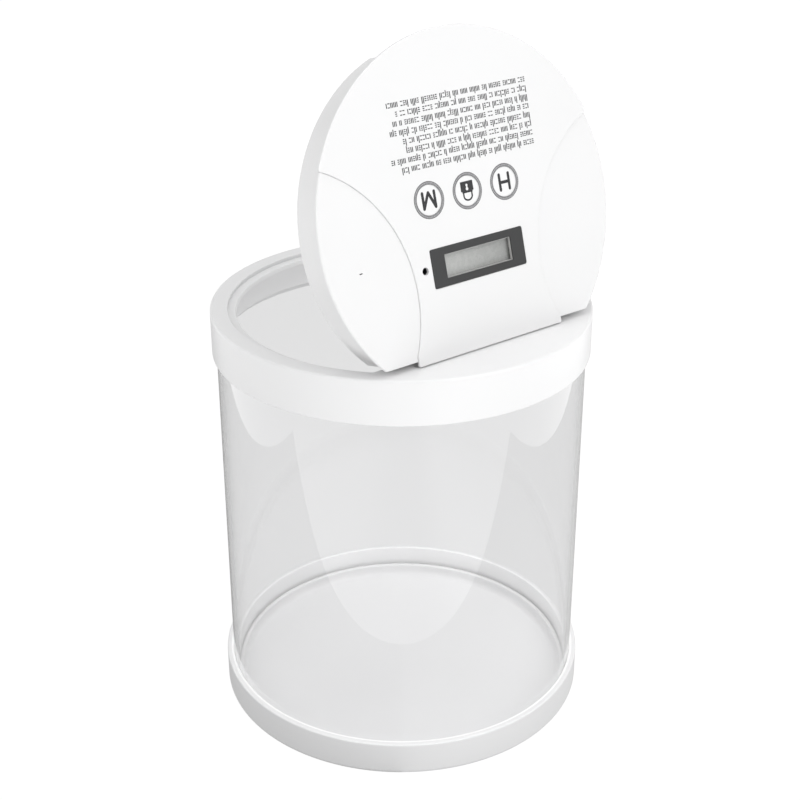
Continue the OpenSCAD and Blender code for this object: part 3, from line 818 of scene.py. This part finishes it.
def strokes(lines, w, z):
    """Union of round-ended strokes, as one thin film."""
    out = None
    for k, (p, q) in enumerate(lines):
        s = plain_slab(capsule(p, q, w), z, z + T_INK)
        out = s if out is None else boolean(out, s, "UNION")
    return out


def flat_film(loops_outer, holes, z):
    return slab("film", loops_outer, holes, z, z + T_INK, top=0, bottom=0)


glyphs = {}
zk = PANEL_TOP
glyphs["hours_key"] = strokes([((-2.3, -3.0), (-2.3, 3.0)), ((2.3, -3.0), (2.3, 3.0)), ((-2.3, 0.1), (2.3, 0.1))], 1.22, zk)
glyphs["minutes_key"] = strokes([((-2.8, -2.95), (-2.8, 2.95)), ((-2.8, 2.95), (0.0, -2.8)), ((0.0, -2.8), (2.8, 2.95)), ((2.8, 2.95), (2.8, -2.95))], 1.22, zk)
body_loop = fillets([(-3.0, -3.7, 0.25), (3.0, -3.7, 0.25), (3.1, 0.1, 0.2), (2.55, 0.15, 0.1), (2.5, 0.75, 0.2), (-2.5, 0.75, 0.2),
                     (-2.55, 0.15, 0.1), (-3.1, 0.1, 0.2)], step=0.1, support=0.02)
keyhole = []
for i in range(25):
    t = math.radians(-60 + 300 * i / 24)
    keyhole.append((0.62 * math.cos(t), -0.75 + 0.62 * math.sin(t)))
for i in range(21):
    t = math.radians(130 + 280 * i / 20)
    keyhole.append((0.52 * math.cos(t), -2.15 + 0.52 * math.sin(t)))
lock_body = flat_film(body_loop, [tidy(keyhole, 0.02)], zk)
shackle = []
for i in range(33):
    t = math.pi * i / 32
    shackle.append((2.35 * math.cos(t), 1.95 + 1.95 * math.sin(t)))
inner = []
for i in range(33):
    t = math.pi - math.pi * i / 32
    inner.append((1.65 * math.cos(t), 1.95 + 1.28 * math.sin(t)))
sh_loop = [(2.35, 0.6)] + shackle + [(-2.35, 0.6), (-1.65, 0.6)] + inner + [(1.65, 0.6)]
glyphs["lock_key"] = union(lock_body, flat_film(tidy(sh_loop, 0.02), [], zk))

for name, x in zip(("hours_key", "lock_key", "minutes_key"), KEYS):
    node = {"hours_key": "key_hours", "lock_key": "key_lock", "minutes_key": "key_minutes"}[name]
    cap = lathe("cap", [(0, 181.3), (4.8, 181.3), (4.8, 180.9), (6.9, 180.9, 0.1), (6.9, 181.8, 0.1), (5.74, 181.8), (5.74, PANEL_TOP, 0.22), (0, PANEL_TOP)], seg=96)
    cap.transform(Matrix.Translation((x, KEY_Y, 0)))
    piece(name + "_cap", cap, LID_M, name, WHITE_KEY, [node])
    glyph = glyphs[name]
    glyph.transform(Matrix.Translation((x, KEY_Y, 0)))
    piece(name + "_print", glyph, LID_M, name, INK)

rings = []
for x in KEYS:
    parts_of = [((5.86, 6.08), "edge"), ((6.08, 6.47), "mid"), ((6.83, 7.10), "edge")]
    for (r0, r1), kind in parts_of:
        rings.append((kind, slab("r", circle(x, KEY_Y, r1, 96), [circle(x, KEY_Y, r0, 96)], PANEL_TOP, PANEL_TOP + T_INK, top=0, bottom=0)))
    rings.append(("mid", slab("r", circle(x, KEY_Y, 6.79, 96), [circle(x, KEY_Y, 6.51, 96)], 184.31, 184.56, top=0, bottom=0)))
piece("key_ring_lines", combine([m for k, m in rings if k == "edge"]), LID_M, "lid", INK_EDGE)
piece("key_ring_bands", combine([m for k, m in rings if k == "mid"]), LID_M, "lid", INK_MID)

# ------------------------------------------------------------------ printed note, as meaningless marks
rng = random.Random(11)
marks = []
widths = [66.3, 70.4, 62.5, 63.7, 68.9, 66.8, 64.3, 68.4]
for row, w in enumerate(widths):
    y0 = -22.4 - 3.45 * row - 0.9
    x = -35.7
    end = x + w
    while x < end - 1.0:
        count = rng.choice((2, 3, 4, 5, 6, 7, 8))
        for _ in range(count):
            if x > end - 0.9:
                break
            kind = rng.random()
            if kind < 0.46:
                marks.append((x, y0, x + 0.42, y0 + 1.86))
                x += 0.72
            elif kind < 0.60:
                marks.append((x, y0, x + 0.42, y0 + 2.62))
                x += 0.72
            elif kind < 0.66:
                marks.append((x, y0 - 0.70, x + 0.42, y0 + 1.86))
                x += 0.72
            elif kind < 0.84:
                marks.append((x, y0, x + 0.95, y0 + 0.38))
                marks.append((x, y0 + 1.48, x + 0.95, y0 + 1.86))
                x += 1.30
            else:
                marks.append((x, y0 + 0.74, x + 0.85, y0 + 1.12))
                marks.append((x, y0 + 1.48, x + 0.85, y0 + 1.86))
                marks.append((x, y0, x + 0.85, y0 + 0.38))
                x += 1.20
        x += 0.95
note = combine([box_mesh(a, b, PANEL_TOP, c, d, PANEL_TOP + T_INK) for a, b, c, d in marks])
piece("note_marks", note, LID_M, "lid", INK)

# ------------------------------------------------------------------ underside
front_y = -55.0


def cover_loop():
    r = 66.4
    a0 = math.asin(46.5 / r)
    a1 = math.acos(25.0 / r)
    pts = [(25.0, front_y), (25.0, -math.sqrt(r * r - 625.0))]
    k = 110
    s0 = -a1
    for i in range(k + 1):
        w = s0 + (a0 - s0) * i / k
        pts.append((r * math.cos(w), r * math.sin(w)))
    half = pts
    other = [(-x, y) for x, y in half][::-1]
    return tidy(half + other)


def door_loop(g):
    return rounded(-59.6 - g, -26.8 - g, -34.8 + g, 26.8 + g, 6 + g)


cover = slab("cover", cover_loop(), [door_loop(0.15)], PLUG_Z + 0.2, COVER_IN, top=0.05, bottom=0.35, hole_top=0.05, hole_bottom=0.25)
cover = union(cover, combine([cyl_mesh(x, y, COVER_IN - 0.05, COVER_IN + 1.6, 3.1, 48) for x, y in COVER_XY]))
cover = minus(cover, *[cyl_mesh(x, y, PLUG_Z - 1, PLUG_Z + 9, 1.2, 32) for x, y in COVER_XY],
              *[cyl_mesh(x, y, PLUG_Z - 1, PLUG_Z + 2.1, 2.4, 48) for x, y in COVER_XY])
piece("underside_plate", cover, LID_M, "lid", WHITE_UNDER, ["bottom_cover"])

door = slab("door", door_loop(0.0), [], PLUG_Z + 0.2, COVER_IN, top=0.05, bottom=0.3)
rim = minus(box_mesh(-58.8, -20, COVER_IN - 0.05, -35.6, 20, COVER_IN + 0.6), box_mesh(-57.8, -30, COVER_IN - 1, -36.6, 30, COVER_IN + 1))
door = union(door, rim)
nail = xcyl_mesh(-53.2, -41.2, 21.5, PLUG_Z - 3.2, 4.4, 96)
door = minus(door, nail)
piece("cell_door", door, LID_M, "door", WHITE_UNDER, ["battery_door"])

# ------------------------------------------------------------------ inner pieces keep their CAD shape
LOOKS = {
    "hinge_pins": STEEL, "hinge_springs": STEEL, "lcd_module": LCD, "main_board": PCB, "board_screws": STEEL,
    "key_switches": BLACK, "power_jack": BLACK, "buzzer": BLACK, "lock_motor": CAN, "motor_pinion": NYLON,
    "latch_bolt": BOLT, "bolt_guide": NYLON, "cover_screws": STEEL, "battery_cells": CELL,
    "battery_springs": NICKEL, "battery_contacts": NICKEL,
}
for name, mat in LOOKS.items():
    ob = NODES[name]
    ob.data.materials.clear()
    ob.data.materials.append(mat)

# ------------------------------------------------------------------ floor, lights
R3 = Vector((right.x, right.y, 0)).normalized()
C3 = Vector((CAM.x, CAM.y, 0)).normalized()
MID = Vector((0, 0, 0.14))

g = Graph("floor")
p = g.principled(Roughness=0.9, Specular_IOR_Level=0.0)
g.link(g.ramp(g.noise(3.0), [(0.3, (0.12, 0.12, 0.12)), (0.7, (0.13, 0.13, 0.13))]), p.inputs["Base Color"])
p.inputs["Emission Color"].default_value = (1, 1, 1, 1)
p.inputs["Emission Strength"].default_value = 0.95
g.done(p.outputs[0])
me = bpy.data.meshes.new("floor")
me.from_pydata([(-4, -4, -0.0004), (4, -4, -0.0004), (4, 4, -0.0004), (-4, 4, -0.0004)], [], [(0, 1, 2, 3)])
me.materials.append(g.mat)
floor = bpy.data.objects.new("floor", me)
scene.collection.objects.link(floor)
floor.visible_diffuse = False


def card(name, r0, r1, c0, c1, radiance, z=-0.0002, through=False, across=None):
    """A studio card on the table, r along the camera's right, c towards the camera. It lights and shows in gloss, or through is what shows behind clear plastic."""
    g = Graph(name)
    e = g.node("ShaderNodeEmission")
    if across:
        sep = g.node("ShaderNodeSeparateXYZ")
        g.link(g.coord.outputs["UV"], sep.inputs[0])
        tone = g.node("ShaderNodeValToRGB")
        tone.color_ramp.interpolation = "EASE"
        while len(tone.color_ramp.elements) < len(across):
            tone.color_ramp.elements.new(0.5)
        for el, (pos, v) in zip(tone.color_ramp.elements, across):
            el.position = pos
            el.color = (v, v, v, 1)
        g.link(sep.outputs["X"], tone.inputs[0])
        gain = g.node("ShaderNodeMath", operation="MULTIPLY")
        gain.inputs[1].default_value = radiance
        g.link(tone.outputs["Color"], gain.inputs[0])
        g.link(gain.outputs[0], e.inputs["Strength"])
    else:
        tone = g.noise(2.0, 1.0)
        g.link(g.remap(tone, radiance * 0.98, radiance * 1.02), e.inputs["Strength"])
    g.done(e.outputs[0])
    me = bpy.data.meshes.new(name)
    pts = [R3 * r + C3 * c + Vector((0, 0, z)) for r, c in ((r0, c0), (r1, c0), (r1, c1), (r0, c1))]
    me.from_pydata([tuple(q) for q in pts], [], [(0, 1, 2, 3)])
    uv = me.uv_layers.new(name="UVMap")
    for loop, q in zip(me.loops, ((0, 0), (1, 0), (1, 1), (0, 1))):
        uv.data[loop.index].uv = q
    me.materials.append(g.mat)
    ob = bpy.data.objects.new(name, me)
    scene.collection.objects.link(ob)
    ob.visible_camera = False
    ob.visible_transmission = through
    ob.visible_glossy = not through
    ob.visible_diffuse = not through
    ob.visible_shadow = False
    return ob


card("table_near_left", -0.33, 0.0, -0.60, 0.17, 0.42)
card("table_near_right", 0.0, 0.33, -0.60, 0.17, 0.66)
card("backdrop", -3.9, 3.9, -3.9, 3.9, 0.775, z=-0.0003, through=True)
card("table_front", -0.33, 0.33, 0.17, 0.90, 2.25, across=[(0.0, 0.70), (0.32, 0.76), (0.47, 0.66), (0.55, 0.66), (0.70, 0.92), (1.0, 0.80)])
card("card_left", -0.80, -0.33, -0.60, 0.90, 1.45)
card("card_right", 0.33, 0.80, -0.60, 0.90, 1.8)

world = bpy.data.worlds.new("studio")
scene.world = world
world.use_nodes = True
wt = world.node_tree
wt.nodes.clear()
wo = wt.nodes.new("ShaderNodeOutputWorld")
bg = wt.nodes.new("ShaderNodeBackground")
tc = wt.nodes.new("ShaderNodeTexCoord")
dot = wt.nodes.new("ShaderNodeVectorMath")
dot.operation = "DOT_PRODUCT"
dot.inputs[1].default_value = tuple(R3 * 0.45 + C3 * 0.45 + Vector((0, 0, 0.30)))
mr = wt.nodes.new("ShaderNodeMapRange")
mr.inputs["From Min"].default_value = -1.0
mr.inputs["From Max"].default_value = 1.0
mr.inputs["To Min"].default_value = 0.36
mr.inputs["To Max"].default_value = 0.86
wt.links.new(tc.outputs["Generated"], dot.inputs[0])
wt.links.new(dot.outputs["Value"], mr.inputs["Value"])
wt.links.new(mr.outputs["Result"], bg.inputs["Strength"])
bg.inputs["Color"].default_value = (1, 1, 1, 1)
wt.links.new(bg.outputs[0], wo.inputs["Surface"])


def softbox(name, where, target, size, radiance):
    data = bpy.data.lights.new(name, "AREA")
    data.shape = "RECTANGLE"
    data.size, data.size_y = size
    data.energy = radiance * math.pi * size[0] * size[1]
    ob = bpy.data.objects.new(name, data)
    scene.collection.objects.link(ob)
    d = (Vector(target) - Vector(where)).normalized()
    ob.matrix_world = Matrix.Translation(Vector(where)) @ d.to_track_quat("-Z", "Y").to_matrix().to_4x4()
    ob.visible_camera = False
    return ob


softbox("key", MID + R3 * 0.50 + C3 * 0.42 + Vector((0, 0, 0.52)), MID + Vector((0, 0, 0.06)), (0.50, 0.50), 2.60)
softbox("top", Vector((0, 0, 0.95)) - C3 * 0.10 + R3 * 0.1, MID, (0.8, 0.8), 1.40)
softbox("front", MID + C3 * 0.68 + R3 * 0.02 + Vector((0, 0, 0.03)), MID, (0.45, 0.40), 0.22)
softbox("left", MID - R3 * 0.60 - C3 * 0.22 + Vector((0, 0, 0.12)), MID + Vector((0, 0, 0.08)), (0.45, 0.45), 0.9)
softbox("fill", MID + C3 * 0.55 + Vector((0, 0, 0.55)) - R3 * 0.50, MID + Vector((0, 0, 0.05)), (0.45, 0.45), 1.9)
